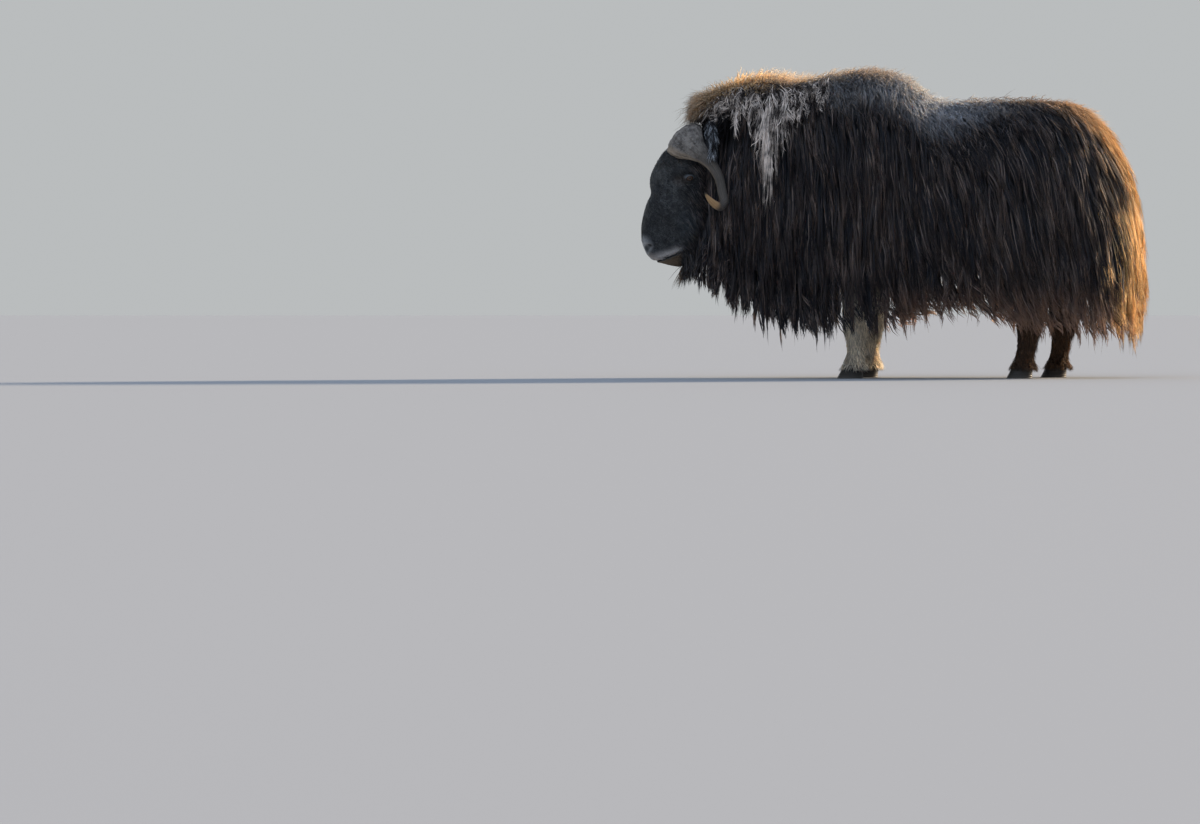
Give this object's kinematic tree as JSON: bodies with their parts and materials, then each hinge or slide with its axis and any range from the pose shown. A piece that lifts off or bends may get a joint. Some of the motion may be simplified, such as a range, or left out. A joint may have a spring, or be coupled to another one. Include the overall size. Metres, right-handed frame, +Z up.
{
  "type": "muskox",
  "caption": "Life-size standing bull muskox in a long winter coat, with a broad horn boss, drooping hooked horns and cloven hooves.",
  "frame": {"origin": "centre of the bounding box on the floor that the hooves stand on", "axes": "+X from the nose towards the tail, -Y to the animal's left side, +Z up"},
  "size_m": [2.3209, 0.8263, 1.4239],
  "materials": {
    "coat": "long coarse guard hair, black-brown on the flanks, with golden brown along the back and rump and a pale saddle",
    "face": "short dense dark hair, greyer on the nose and lips",
    "leg": "short pale tan hair",
    "horn": "rough fibrous grey-brown boss, smoother towards the tan tip",
    "hoof": "dull dark horn",
    "eye": "wet, dark brown and glossy"
  },
  "bodies": {
    "root": {"head": "face", "lower_jaw": "face", "eye_left": "eye", "eye_right": "eye", "horn_left": "horn", "horn_right": "horn", "ear_left": "face", "ear_right": "face", "neck": "coat", "shoulders": "coat", "barrel": "coat", "rump": "coat", "tail": "coat", "front_leg_left": "leg", "front_leg_right": "leg", "hind_leg_left": "leg", "hind_leg_right": "leg", "front_hoof_left_inner": "hoof", "front_hoof_left_outer": "hoof", "front_hoof_right_inner": "hoof", "front_hoof_right_outer": "hoof", "hind_hoof_left_inner": "hoof", "hind_hoof_left_outer": "hoof", "hind_hoof_right_inner": "hoof", "hind_hoof_right_outer": "hoof"}
  },
  "joints": []
}
